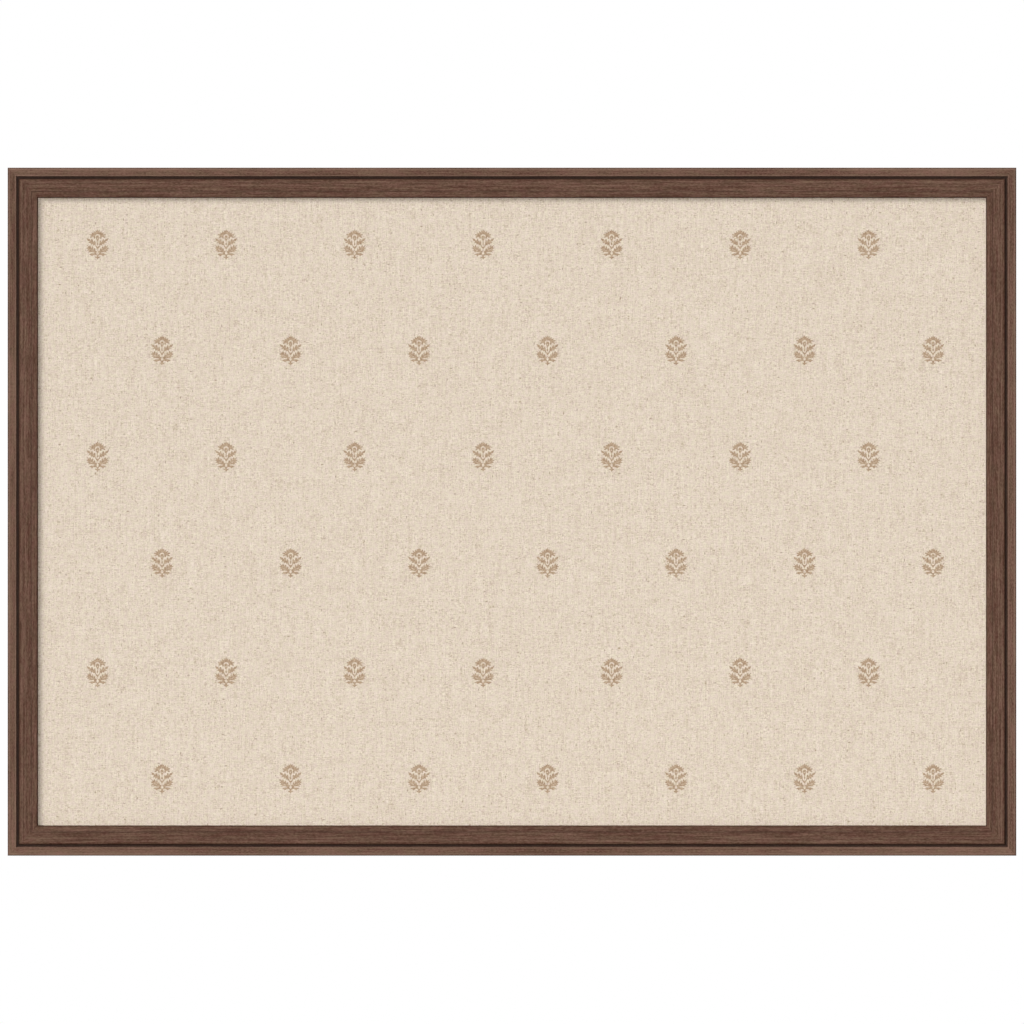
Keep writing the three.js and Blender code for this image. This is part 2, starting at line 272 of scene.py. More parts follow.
def pick(kind, test):
    """Selects, on the mesh being edited, each corner, edge or face whose middle passes."""
    bpy.ops.mesh.select_mode(type=kind)
    bpy.ops.mesh.select_all(action="DESELECT")
    mesh = bmesh.from_edit_mesh(bpy.context.object.data)
    for part in {"VERT": mesh.verts, "EDGE": mesh.edges, "FACE": mesh.faces}[kind]:
        corners = [part] if kind == "VERT" else part.verts
        if test(sum((corner.co for corner in corners), Vector()) / len(corners)):
            part.select_set(True)
    mesh.select_flush_mode()
    bmesh.update_edit_mesh(bpy.context.object.data)


def near(first, second):
    return abs(first - second) < pick_tolerance


def cut_across(place, normal, **sides):
    """Cuts the whole mesh being edited along a plane."""
    bpy.ops.mesh.select_mode(type="FACE")
    bpy.ops.mesh.select_all(action="SELECT")
    bpy.ops.mesh.bisect(plane_co=place, plane_no=normal, threshold=cut_tolerance, **sides)


def only(piece):
    """Selects one piece, and nothing else."""
    bpy.ops.object.select_all(action="DESELECT")
    piece.select_set(True)
    bpy.context.view_layer.objects.active = piece


def finish_faces(piece, angle=30):
    """Shades the rounded edges smooth and leaves the flats flat."""
    only(piece)
    bpy.ops.object.shade_smooth_by_angle(angle=math.radians(angle))
    bpy.ops.object.modifier_add(type="WEIGHTED_NORMAL")
    piece.modifiers[-1].keep_sharp = True
    bpy.ops.object.modifier_apply(modifier=piece.modifiers[-1].name)


def cut_with(piece, tool):
    """Cuts a tool's shape out of a piece."""
    only(piece)
    bpy.ops.object.modifier_add(type="BOOLEAN")
    piece.modifiers[-1].operation = "DIFFERENCE"
    piece.modifiers[-1].object = tool
    bpy.ops.object.modifier_apply(modifier=piece.modifiers[-1].name)


def merged_copy(nodes, grow):
    """One tool made of copies of the CAD's own pieces, each grown by a fit."""
    bpy.ops.object.select_all(action="DESELECT")
    for node in nodes:
        copy = node.copy()
        copy.data = node.data.copy()
        copy.parent = None
        bpy.context.scene.collection.objects.link(copy)
        copy.select_set(True)
        bpy.context.view_layer.objects.active = copy
    bpy.ops.object.join()
    tool = bpy.context.object
    bpy.ops.object.mode_set(mode="EDIT")
    bpy.ops.mesh.select_all(action="SELECT")
    bpy.ops.mesh.remove_doubles(threshold=cut_tolerance)
    bpy.ops.mesh.dissolve_limited(angle_limit=math.radians(1))
    bpy.ops.transform.shrink_fatten(value=grow, use_even_offset=True)
    bpy.ops.object.mode_set(mode="OBJECT")
    return tool


def mill(name, length):
    """A length of moulding with square ends, lying along X with its outer edge at Z = 0."""
    bpy.ops.object.select_all(action="DESELECT")
    bpy.ops.mesh.primitive_plane_add(
        size=moulding,
        location=(-length / 2, face + moulding / 2, -moulding / 2),
        rotation=(0, math.radians(90), 0),
    )
    rail = bpy.context.object
    rail.name = name
    bpy.ops.object.transform_apply(location=True, rotation=True)
    bpy.ops.object.mode_set(mode="EDIT")
    for inset in (fillet, fillet + groove, rebate_wall):
        cut_across((0, 0, -inset), normal=(0, 0, 1))
    for depth in (band_drop, groove_depth, lip_depth):
        cut_across((0, face + depth, 0), normal=(0, 1, 0))

    def cut_away(at):
        inset, depth = -at.z, at.y - face
        in_groove = fillet < inset < fillet + groove and depth < groove_depth
        over_band = inset > fillet + groove and depth < band_drop
        in_rebate = inset > rebate_wall and depth > lip_depth
        return in_groove or over_band or in_rebate

    pick("FACE", cut_away)
    bpy.ops.mesh.delete(type="FACE")
    bpy.ops.mesh.select_all(action="SELECT")
    bpy.ops.mesh.extrude_region_move(TRANSFORM_OT_translate={"value": (length, 0, 0)})
    bpy.ops.mesh.select_all(action="SELECT")
    bpy.ops.mesh.normals_make_consistent(inside=False)
    bpy.ops.mesh.dissolve_limited(angle_limit=math.radians(1))
    for inset, depth, radius in rounded_edges:
        pick("EDGE", lambda at: near(-at.z, inset) and near(at.y - face, depth))
        bpy.ops.mesh.bevel(offset=radius, segments=arc_steps, affect="EDGES")
    bpy.ops.object.mode_set(mode="OBJECT")
    return rail


def relief(height, strength, depth):
    """The light that low bumps catch, from how high each point stands."""
    return height.node("Bump", None, {"Strength": strength, "Distance": depth, "Height": height})


def surface(place, sockets):
    """Ends a finish with the surface that light falls on."""
    shader = place.node("BsdfPrincipled", None, sockets)
    place.node("OutputMaterial", None, {"Surface": shader})


def walnut(name, turn, across, start):
    """Walnut stain over fine straight grain, which runs along the rail. The rail is turned
    with its outer edge across from the middle, and its grain is cut from its own start."""
    material, place = finish(name)
    stock = place.node("Mapping", None, {"Vector": place, "Rotation": (0, -turn, 0)})
    apart = stock.node("SeparateXYZ", None, {"Vector": stock})
    inset = across - apart.other("Z")
    depth = apart.other("Y") - face
    grain = (stock + (start, 0, 0)) * (1 / mm, 1 / mm, 1 / mm)

    def streaks(long, wide, detail):
        """Noise drawn out along the grain, with its length and width in millimetres."""
        stretched = grain * (1 / long, 1 / wide, 1 / wide)
        settings = {"Vector": stretched, "Scale": 1.0, "Detail": detail, "Roughness": 0.6}
        return grain.node("TexNoise", None, settings)

    fibres = streaks(26, 0.8, 1)
    dashes = streaks(2.4, 0.8, 1)
    figure = streaks(60, 4.5, 2)
    tone = streaks(160, 22, 2)

    # The stain takes unevenly, and a little paler on the fillet than on the band.
    on_fillet = 1 - inset.rise(fillet - 0.2 * mm, fillet + 0.2 * mm)
    stain = (
        0.39
        + 0.15 * on_fillet
        + 0.85 * (fibres - 0.5)
        + (0.75 + 0.2 * on_fillet) * (dashes - 0.5)
        + 0.25 * (figure - 0.5)
        + (0.1 + 0.85 * on_fillet) * (tone - 0.5)
    )
    warmth = streaks(14, 4, 1).rise(0.3, 0.7)
    dark = warmth.blend(colour(64, 36, 18), colour(68, 34, 19))
    light = warmth.blend(colour(129, 102, 83), colour(133, 100, 85))
    wood = stain.rise(0, 1).blend(dark, light)
    pores = streaks(4.5, 0.2, 0).rise(0.58, 0.7)
    wood = (0.3 * pores).blend(wood, colour(44, 26, 18))

    # On the face, painted shade darkens the rounded outer rim. Just inside, a pale line is partly
    # stain rubbed thin and partly a painted highlight along the arris.
    in_front = 1 - depth.rise(groove_depth, lip_depth)
    painted_rim_shade = in_front * (1 - inset.rise(0.6 * mm, 1.3 * mm))
    wood = (0.35 * painted_rim_shade).blend(wood, colour(48, 28, 20))
    wear_and_painted_highlight = in_front * inset.rise(1.0 * mm, 1.4 * mm) * (1 - inset.rise(1.9 * mm, 2.5 * mm))
    wood = (0.22 * wear_and_painted_highlight).blend(wood, colour(160, 132, 114))

    # The straight lines of grain and of painted highlight, then painted shade in the groove and on
    # the rounded sight edge.
    for lines, shade in ((dark_lines, colour(40, 25, 19)), (pale_grain_and_highlights, colour(160, 132, 114))):
        for line, wide, share in lines:
            at_line = 1 - inset.maths("ABSOLUTE", inset - line).rise(0.2 * wide, wide)
            wood = (share * at_line * in_front).blend(wood, shade)
    # Painted shade in the groove, from just inside the fillet's edge up the band's shoulder.
    in_groove = inset.rise(fillet + 0.3 * mm, fillet + 0.5 * mm) * (
        1 - inset.rise(fillet + groove, fillet + groove + 2.2 * mm)
    )
    wood = (0.66 * in_groove * in_front).blend(wood, colour(26, 15, 11))
    # Painted shade on the rounded sight edge, where the band falls away to the linen.
    painted_sight_shade = inset.rise(moulding - 1.8 * mm, moulding - 0.3 * mm)
    wood = (0.42 * painted_sight_shade * in_front).blend(wood, colour(40, 25, 19))
    surface(place, {
        "Base Color": wood, "Roughness": 0.5 + 0.16 * fibres, "Specular IOR Level": 0.12,
        "Normal": relief(0.5 * fibres + 0.3 * dashes - 0.4 * pores, 0.5, 0.05 * mm),
    })
    return material


nail_tool = merged_copy(
    [node for name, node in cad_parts.items() if name.startswith("corner_nail")], nail_fit
)
for turns, side in enumerate(("top", "right", "bottom", "left")):
    upright = turns % 2 == 1
    along, across = (half_height, half_width) if upright else (half_width, half_height)
    rail = mill(side + "_moulding", 2 * along + mitre_waste)
    turn = turns * math.radians(90)
    in_place = Matrix.Rotation(turn, 3, "Y")
    rail.rotation_euler = (0, turn, 0)
    rail.location = in_place @ Vector((0, 0, across))
    bpy.ops.object.transform_apply(location=True, rotation=True)
    cut_with(rail, nail_tool)
    bpy.ops.object.mode_set(mode="EDIT")
    for end in (-1, 1):
        corner = in_place @ Vector((end * along, 0, across))
        outward = in_place @ Vector((end, 0, -1))
        cut_across(corner, outward, use_fill=True, clear_outer=True)
    bpy.ops.object.mode_set(mode="OBJECT")
    finish_faces(rail)
    paint(rail, walnut("walnut_" + side, turn, across, start=grain_step * turns))
    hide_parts(side + "_rail")
    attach(rail, "board")
bpy.data.objects.remove(nail_tool)


# The linen cover. One piece of natural linen is stretched over the front of the panel, folded
# round its edges and turned in behind, with a slit where two turn-ins meet at each corner.

cover_low, cover_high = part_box("linen_cover")
linen_thickness = 0.8 * mm
turn_in = 34 * mm
corner_slit = 0.8 * mm
fold_radius = 0.7 * mm
fold_steps = 3
thread_pitch = 0.8 * mm

bpy.ops.object.select_all(action="DESELECT")
bpy.ops.mesh.primitive_cube_add(
    size=1, location=(cover_low + cover_high) / 2, scale=cover_high - cover_low
)
cover = bpy.context.object
cover.name = "stretched_linen"
bpy.ops.object.transform_apply(location=True, scale=True)
bpy.ops.object.mode_set(mode="EDIT")
pick("FACE", lambda at: near(at.y, cover_high.y))
bpy.ops.mesh.delete(type="ONLY_FACE")
pick("EDGE", lambda at: near(at.y, cover_high.y))
bpy.ops.mesh.extrude_edges_move()
shrink = ((cover_high.x - turn_in) / cover_high.x, 1, (cover_high.z - turn_in) / cover_high.z)
bpy.ops.transform.resize(value=shrink, center_override=(0, 0, 0))


def between_turn_ins(at):
    middle = (cover_high.x - turn_in / 2, cover_high.z - turn_in / 2)
    return near(abs(at.x), middle[0]) and near(abs(at.z), middle[1])


pick("EDGE", between_turn_ins)
bpy.ops.mesh.bevel(offset=corner_slit / 2, segments=1, affect="EDGES")
bpy.ops.mesh.delete(type="FACE")
pick("EDGE", lambda at: near(at.y, cover_low.y))
bpy.ops.mesh.bevel(offset=fold_radius, segments=fold_steps, affect="EDGES")
bpy.ops.object.mode_set(mode="OBJECT")
bpy.ops.object.modifier_add(type="SOLIDIFY")
cover.modifiers[-1].thickness = linen_thickness
cover.modifiers[-1].offset = -1
bpy.ops.object.modifier_apply(modifier=cover.modifiers[-1].name)
finish_faces(cover, angle=40)

# A map for the cover's baked colours, most of which goes to the side that shows.
front_share = 0.66
island_gap = 0.004
cover.data.uv_layers.new(name="OFBake")
bpy.ops.object.mode_set(mode="EDIT")
pick("FACE", lambda at: not near(at.y, cover_low.y))
bpy.ops.uv.smart_project(
    angle_limit=math.radians(66), island_margin=island_gap, scale_to_bounds=True
)
bpy.ops.object.mode_set(mode="OBJECT")
cover_map = cover.data.uv_layers["OFBake"].uv
for facet in cover.data.polygons:
    for corner in facet.loop_indices:
        across, up = cover_map[corner].vector
        up = front_share + (1 - front_share) * up
        if near(facet.center.y, cover_low.y):
            at = cover.data.vertices[cover.data.loops[corner].vertex_index].co
            across = (at.x - cover_low.x) / (cover_high.x - cover_low.x)
            up = front_share * (at.z - cover_low.z) / (cover_high.z - cover_low.z)
        cover_map[corner].vector = (across, up)


def weave(place):
    """The cloth's layout: how far across and up a point is in millimetres, a maker of noise
    in threads, and the crossings of the weave."""
    apart = place.node("SeparateXYZ", None, {"Vector": place * (1 / mm, 1 / mm, 1 / mm)})
    across = apart + apart.other("Y")
    up = apart.other("Z") + apart.other("Y")

    def thread(long, tall, size, detail=2):
        """Noise in streaks of one size in millimetres, so many sizes long and tall."""
        at = place.node("CombineXYZ", None, {"X": across * (1 / long), "Y": up * (1 / tall)})
        settings = {"Vector": at, "Scale": 1 / size, "Detail": detail, "Roughness": 0.5}
        return place.node("TexNoise", {"noise_dimensions": "2D"}, settings)

    round_trip = 2 * math.pi * mm / thread_pitch
    crossings = place.maths("SINE", across * round_trip) * place.maths("SINE", up * round_trip)
    return across, up, thread, crossings


linen, place = finish("natural_linen")
across, up, thread, crossings = weave(place)


def flecks(long, tall, cell, size, empty):
    """Scattered bits of bark, drawn out along the threads that they were spun into. One lies
    in each cell of so many millimetres, but for the share of cells that is empty. Its size is
    a share of the cell's."""
    at = place.node("CombineXYZ", None, {"X": across * (1 / long), "Y": up * (1 / tall)})
    cells = place.node(
        "TexVoronoi", {"voronoi_dimensions": "2D"}, {"Vector": at, "Scale": 1 / cell}, "Distance"
    )
    luck = cells.node("SeparateColor", None, {"Color": cells.other("Color")})
    return (1 - cells.rise(0.3 * size, size)) * luck.rise(empty, 1)


warp = thread(1, 14, 0.9)
weft = thread(14, 1, 0.9)
slubs_up = thread(1, 45, 1.1, 1)
slubs_across = thread(45, 1, 1.1, 1)
fine_up = thread(1, 9, 0.35, 1)
fine_across = thread(9, 1, 0.35, 1)
long_up = thread(1, 26, 0.38, 1)
long_across = thread(26, 1, 0.38, 1)
lint = thread(1, 1, 0.7, 1)
clouds = thread(1, 1, 11, 2)
bands = thread(1, 4, 11, 2)
ridges = thread(4, 1, 11, 2)
evenness = thread(1, 1, 13, 1).rise(0.35, 0.65)
threads = (
    0.27 * (warp - 0.5)
    + 0.19 * (weft - 0.5)
    + 0.20 * (slubs_up - 0.5)
    + 0.15 * (slubs_across - 0.5)
    + 0.52 * (fine_up - 0.5)
    + 0.70 * (fine_across - 0.5)
    + 0.29 * (long_up - 0.5)
    + 0.38 * (long_across - 0.5)
    + 0.48 * (lint - 0.5)
    + 0.10 * crossings
)
tone = (
    0.634
    + (1.22 - 0.44 * evenness) * threads
    + 0.10 * (clouds - 0.5)
    + 0.07 * (bands - 0.5)
    + 0.05 * (ridges - 0.5)
)
warmth = thread(1, 1, 3.6, 2).rise(0.3, 0.7)
dark = warmth.blend(colour(176, 154, 125), colour(178, 152, 131))
light = warmth.blend(colour(243, 232, 212), colour(244, 230, 216))
cloth = tone.rise(0, 1).blend(dark, light)
bark = flecks(2.4, 0.9, cell=13, size=0.06, empty=0.4).most(
    flecks(0.9, 2.4, cell=15, size=0.05, empty=0.4)
)
cloth = (0.65 * bark).blend(cloth, colour(140, 109, 78))
neps = flecks(1.7, 0.8, cell=5.5, size=0.13, empty=0.3).most(
    flecks(0.8, 1.7, cell=5.5, size=0.13, empty=0.3)
)
cloth = (0.62 * neps).blend(cloth, colour(166, 136, 102))
surface(place, {
    "Base Color": cloth, "Roughness": 0.92, "Specular IOR Level": 0.05,
    "Normal": relief(0.4 * crossings + fine_up + fine_across, 0.4, 0.05 * mm),
})
paint(cover, linen)
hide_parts("linen_cover")
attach(cover, "board")


# The block print. A small traditional flower sprig is printed on the linen in tan ink, in
# rows that step sideways by half. The ink lies as a thin film on the threads.

column_pitch = 122.24 * mm
first_columns = (-394.2 * mm, -332.9 * mm)
row_heights = [height * mm for height in (254.3, 153.5, 52.5, -48.7, -152.8, -253.8)]
columns = 7
film = 0.1 * mm
sink = 0.02 * mm


def both_halves(half):
    """A whole outline from its right half, which runs from the middle line back to it."""
    left = [(-across, up) for across, up in reversed(half) if across > 0]
    return [*half, *left]


flower = both_halves([
    (0, 14.6), (0.7, 12.8), (1.9, 13.4), (2.1, 11.5), (3.7, 12.8), (3.9, 10.6), (6.1, 11.5),
    (5.2, 9.6), (7.8, 9.7), (7.7, 8.7), (5.6, 8.0), (7.4, 7.2), (6.9, 6.1), (5.4, 6.6),
    (4.6, 7.3), (3.8, 6.9), (3.6, 5.6), (2.7, 5.2), (2.0, 6.1), (2.3, 7.4), (2.4, 8.2),
    (1.5, 9.3), (0, 9.8),
])
bud = both_halves([
    (0, 8.5), (1.1, 8.1), (1.5, 7.2), (1.6, 5.9), (1.3, 4.9), (1.0, 4.0), (0.3, 3.3),
    (0.25, 2.0), (0.6, 1.0), (0.7, 0.2), (0.4, -0.7), (0, -1.1),
])
bud_heart = both_halves([(0, 6.4), (0.7, 5.9), (0, 5.4)])
upper_leaves = both_halves([
    (0, -2.3), (1.2, -1.7), (1.7, -0.5), (2.0, 2.0), (2.4, 3.3), (3.1, 3.7), (3.7, 2.1),
    (4.3, 3.3), (4.8, 5.0), (5.9, 5.0), (6.5, 3.4), (7.6, 4.9), (10.6, 6.1), (9.4, 3.3),
    (7.5, 2.8), (9.0, 1.2), (6.7, 1.5), (6.4, -0.3), (4.5, 0.4), (4.1, -1.0), (2.6, -0.6),
    (2.0, -2.2), (0.8, -3.7), (0, -5.1),
])
lower_leaves = both_halves([
    (0, -5.7), (0.9, -6.3), (1.5, -6.2), (2.2, -5.6), (2.3, -4.1), (3.3, -3.5), (4.0, -5.3),
    (4.2, -2.4), (5.2, -1.6), (5.9, -3.8), (6.5, -1.4), (7.4, -0.6), (8.2, -2.2), (10.9, -0.2),
    (9.0, -2.7), (11.1, -3.5), (8.7, -4.7), (10.4, -5.8), (7.7, -6.3), (9.3, -7.7), (6.6, -7.2),
    (3.2, -7.7), (3.4, -8.5), (6.0, -8.6), (8.8, -10.0), (6.4, -10.3), (5.4, -11.4),
    (4.0, -10.3), (1.9, -9.9), (0.9, -10.6), (0.7, -11.6), (1.3, -11.8), (2.8, -11.7),
    (1.9, -12.8), (0.9, -13.1), (0, -14.6),
])
seed_pod = both_halves([(0, -6.2), (0.8, -7.2), (1.2, -8.4), (0.8, -9.5), (0, -9.8)])
right_vein = [(3.6, -6.6), (6.2, -5.6), (8.9, -4.0), (6.2, -5.2)]
left_vein = [(-across, up) for across, up in reversed(right_vein)]
sprig_outlines = [
    flower, bud, bud_heart, upper_leaves, lower_leaves, seed_pod, right_vein, left_vein
]


def sprig():
    """One sprig, cut from a flat curve and stood up in the plane of the cloth."""
    curve = bpy.data.curves.new("sprig", "CURVE")
    curve.dimensions = "2D"
    curve.fill_mode = "BOTH"
    curve.extrude = film / 2
    for outline in sprig_outlines:
        spline = curve.splines.new("POLY")
        spline.points.add(len(outline) - 1)
        for point, (across, up) in zip(spline.points, outline):
            point.co = (across * mm, up * mm, 0, 1)
        spline.use_cyclic_u = True
    made = bpy.data.objects.new("sprig", curve)
    bpy.context.scene.collection.objects.link(made)
    only(made)
    bpy.ops.object.convert(target="MESH")
    return bpy.context.object


pattern = sprig()
pattern.rotation_euler = (math.radians(90), 0, 0)
bpy.ops.object.transform_apply(rotation=True)
prints = []
for row, height in enumerate(row_heights):
    for column in range(columns):
        copy = pattern.copy()
        copy.data = pattern.data.copy()
        copy.location = (
            first_columns[row % 2] + column * column_pitch,
            cover_low.y - film / 2 + sink,
            height,
        )
        bpy.context.scene.collection.objects.link(copy)
        prints.append(copy)
bpy.data.objects.remove(pattern)
bpy.ops.object.select_all(action="DESELECT")
for copy in prints:
    copy.select_set(True)
bpy.context.view_layer.objects.active = prints[0]
bpy.ops.object.transform_apply(location=True)
bpy.ops.object.join()
block_print = bpy.context.object
block_print.name = "block_print"

ink, place = finish("tan_ink")
across, up, thread, crossings = weave(place)
blotch = thread(1, 1, 1.9, 2)
threads = thread(1, 9, 0.35, 1) + thread(9, 1, 0.35, 1)
stain = (0.44 * blotch + 0.28 * threads + 0.07 * crossings).rise(0.3, 0.7)
print_colour = stain.blend(colour(158, 129, 102), colour(205, 182, 156))
surface(place, {"Base Color": print_colour, "Roughness": 0.9, "Specular IOR Level": 0.05})
paint(block_print, ink)
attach(block_print, "board")


# The cork sheet, which holds the pins. It is pressed from ground cork and binder and glued
# to the front of the fibreboard, under the linen.


def noise(place, size, detail, distortion=0.0):
    """Soft blobs of about one size, between 0 and 1, with finer ones in them."""
    return place.node("TexNoise", None, {
        "Vector": place, "Scale": 1 / size, "Detail": detail, "Distortion": distortion,
    })


ground_cork, place = finish("ground_cork")
crumbs = place.node("TexVoronoi", None, {"Vector": place, "Scale": 1 / (2.6 * mm)}, "Distance")
tone = place.node("SeparateColor", None, {"Color": crumbs.other("Color")})
grit = noise(place, 0.7 * mm, 3)
crumb = (0.6 * tone + 0.4 * grit).blend(colour(140, 98, 62), colour(205, 164, 118))
cork = (0.45 * crumbs.rise(0.45, 0.8)).blend(crumb, colour(88, 56, 34))
surface(place, {
    "Base Color": cork, "Roughness": 0.9, "Specular IOR Level": 0.1,
    "Normal": relief(grit - crumbs, 0.5, 0.2 * mm),
})
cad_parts["cork_sheet"].material_slots[0].material = ground_cork


# The fibreboard. A light soft board of felted wood pulp that keeps the panel stiff and lets
# the pins go deep. Its fibres lie at random in its plane.

pulp_board, place = finish("pulp_board")
felt = noise(place * (1, 3, 1), 1.6 * mm, 5, 1.2)
lumps = noise(place, 14 * mm, 2)
pulp = (0.65 * felt + 0.35 * lumps).rise(0.3, 0.7)
board_colour = pulp.blend(colour(128, 113, 92), colour(172, 157, 133))
surface(place, {
    "Base Color": board_colour, "Roughness": 0.95, "Specular IOR Level": 0.1,
    "Normal": relief(felt, 0.6, 0.2 * mm),
})
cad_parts["fibreboard_core"].material_slots[0].material = pulp_board


# The staples. Sixteen of flat zinc-plated wire, shot through the turned-in linen into the
# fibreboard.


def metal(name, dark, light, dull):
    """A cold-worked metal surface with faint drawing lines and a little tarnish."""
    material, place = finish(name)
    tarnish = noise(place, 3.5 * mm, 3)
    drawn = noise(place * (1, 1, 0.12), 0.35 * mm, 2)
    tone = (0.7 * tarnish + 0.3 * drawn).rise(0.3, 0.7)
    surface(place, {
        "Base Color": tone.blend(dark, light), "Metallic": 1.0,
        "Roughness": dull + 0.18 * (tarnish - 0.5), "Normal": relief(drawn, 0.15, 0.02 * mm),
    })
    return material


zinc = metal("zinc_plate", colour(164, 166, 168), colour(203, 205, 207), 0.34)
for name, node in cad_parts.items():
    if name.startswith("staple_"):
        node.material_slots[0].material = zinc


# The back. A sheet of thin brown hardboard that lies on the turn-ins and closes the rebate.
# Its wood fibres are pressed nearly smooth.

hardboard, place = finish("hardboard")
fibres = noise(place * (1, 2, 1), 1.3 * mm, 4, 1.6)
flakes = noise(place, 7 * mm, 3)
clouds = noise(place, 90 * mm, 2)
tone = (0.5 * fibres + 0.3 * flakes + 0.2 * clouds).rise(0.3, 0.7)
brown = tone.blend(colour(93, 62, 40), colour(136, 98, 66))
chips = place.node("TexVoronoi", None, {"Vector": place, "Scale": 1 / (11 * mm)}, "Distance")
brown = (0.5 * (1 - chips.rise(0.05, 0.16))).blend(brown, colour(66, 42, 27))
surface(place, {
    "Base Color": brown, "Roughness": 0.55 + 0.2 * fibres, "Specular IOR Level": 0.3,
    "Normal": relief(fibres, 0.3, 0.06 * mm),
})
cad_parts["backing_board"].material_slots[0].material = hardboard


# The framing points and the mitre nails, stamped from blued spring steel. The points are
# driven into the rebate wall over the back; the nails are pressed into slots at the mitres.

blued = metal("blued_steel", colour(96, 99, 106), colour(142, 145, 151), 0.32)
for name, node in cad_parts.items():
    if name.startswith(("framing_point_", "corner_nail_")):
        node.material_slots[0].material = blued


# The hanger straps. Each is a zinc-plated steel strip with a round lower end and two screw
# holes. Its top is rolled into an eye that holds the ring. It lies flat on a side rail.

strap_width = 12.7 * mm
strap_thickness = 1.0 * mm
strap_low = 125.525 * mm
ring_bar_height = 163.525 * mm
eye_outer = 2.35 * mm
eye_turn = math.radians(296.5)
eye_steps = 22
screw_hole_radius = 1.9 * mm
hole_sides = 32
strap_end_steps = 9
screw_heights = (145.525 * mm, 132.525 * mm)
strap_edge = 0.15 * mm
weld_tolerance = 0.004 * mm
wood_back = face + moulding
hanger_middle = 468.725 * mm
eye_depth = wood_back + eye_outer
sides = (("left", -1), ("right", 1))


def soften(piece, width, steps=2, angle=50):
    """Breaks the sharp edges of a piece, as tumbling does."""
    only(piece)
    bpy.ops.object.modifier_add(type="BEVEL")
    piece.modifiers[-1].width = width
    piece.modifiers[-1].segments = steps
    piece.modifiers[-1].limit_method = "ANGLE"
    piece.modifiers[-1].angle_limit = math.radians(angle)
    bpy.ops.object.modifier_apply(modifier=piece.modifiers[-1].name)


def weld():
    """Joins corners that meet on the mesh being edited, and turns all its faces outward."""
    bpy.ops.mesh.select_all(action="SELECT")
    bpy.ops.mesh.remove_doubles(threshold=weld_tolerance)
    bpy.ops.mesh.normals_make_consistent(inside=False)


def copy_at(piece, name, place):
    """A copy of a piece with its own mesh, set at its place."""
    copy = piece.copy()
    copy.data = piece.data.copy()
    copy.name = name
    copy.location = place
    bpy.context.scene.collection.objects.link(copy)
    only(copy)
    bpy.ops.object.transform_apply(location=True, rotation=True, scale=True)
    return copy


bpy.ops.object.select_all(action="DESELECT")
bpy.ops.mesh.primitive_cube_add(
    size=1,
    location=(0, wood_back + strap_thickness / 2, (strap_low + ring_bar_height) / 2),
    scale=(strap_width, strap_thickness, ring_bar_height - strap_low),
)
strap = bpy.context.object
bpy.ops.object.transform_apply(location=True, scale=True)
bpy.ops.object.mode_set(mode="EDIT")
pick("EDGE", lambda at: near(at.z, strap_low) and near(abs(at.x), strap_width / 2))
bpy.ops.mesh.bevel(offset=strap_width / 2, segments=strap_end_steps, affect="EDGES")
pick("FACE", lambda at: near(at.z, ring_bar_height))
bpy.ops.mesh.spin(
    steps=eye_steps, angle=eye_turn, center=(0, eye_depth, ring_bar_height), axis=(1, 0, 0)
)
weld()
bpy.ops.object.mode_set(mode="OBJECT")
for height in screw_heights:
    bpy.ops.mesh.primitive_cylinder_add(
        vertices=hole_sides, radius=screw_hole_radius, depth=4 * strap_thickness,
        location=(0, wood_back, height), rotation=(math.radians(90), 0, 0),
    )
    drill = bpy.context.object
    cut_with(strap, drill)
    bpy.data.objects.remove(drill)
soften(strap, strap_edge)
finish_faces(strap)
paint(strap, zinc)
for side, sign in sides:
    piece = copy_at(strap, "rolled_strap_" + side, (sign * hanger_middle, 0, 0))
    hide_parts("hanger_strap_" + side)
    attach(piece, "board")
bpy.data.objects.remove(strap)


# The D-rings. Each is bent from plated wire, with its ends butted at the middle of the
# straight side, and swings freely in its strap's eye.

wire_radius = 1.1 * mm
bar_half = 6.95 * mm
bend_radius = 2.2 * mm
seam_half = 0.2 * mm
wire_sides = 16
bend_steps = 8
bow_steps = 28
bend_middle = ring_bar_height - bend_radius
half_bar = (bar_half - seam_half, 0, 0)

bpy.ops.object.select_all(action="DESELECT")
bpy.ops.mesh.primitive_circle_add(
    vertices=wire_sides, radius=wire_radius, fill_type="NGON",
    location=(seam_half, eye_depth, ring_bar_height), rotation=(0, math.radians(90), 0),
)
ring = bpy.context.object
bpy.ops.object.transform_apply(location=True, rotation=True)
bpy.ops.object.mode_set(mode="EDIT")
bpy.ops.mesh.select_all(action="SELECT")
bpy.ops.mesh.extrude_region_move(TRANSFORM_OT_translate={"value": half_bar})
bends = ((bar_half, 90, bend_steps), (0, 180, bow_steps), (-bar_half, 90, bend_steps))
for middle, turn, steps in bends:
    bpy.ops.mesh.spin(
        steps=steps, angle=math.radians(turn), center=(middle, eye_depth, bend_middle),
        axis=(0, -1, 0),
    )
bpy.ops.mesh.extrude_region_move(TRANSFORM_OT_translate={"value": half_bar})
weld()
bpy.ops.object.mode_set(mode="OBJECT")
soften(ring, strap_edge)
finish_faces(ring, angle=40)
paint(ring, zinc)
for side, sign in sides:
    piece = copy_at(ring, "bent_ring_" + side, (sign * hanger_middle, 0, 0))
    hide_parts("d_ring_" + side)
    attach(piece, "ring_" + side)
bpy.data.objects.remove(ring)


# The hanger screws. Four zinc-plated pan-head wood screws with a cross recess. Each goes
# through its strap into the side rail, and its head lies on the strap.

head_radius = 3.3 * mm
head_rim = 0.7 * mm
head_dome = 1.4 * mm
head_sides = 36
head_rings = 16
shank_radius = 1.6 * mm
screw_length = 12 * mm
point_length = 3.5 * mm
point_radius = 0.15 * mm
recess_long = 3.6 * mm
recess_wide = 0.8 * mm
recess_deep = 1.3 * mm
recess_taper = 0.6
screw_turns = (20, -35)
tool_above = 0.06 * mm
under_head = wood_back + strap_thickness

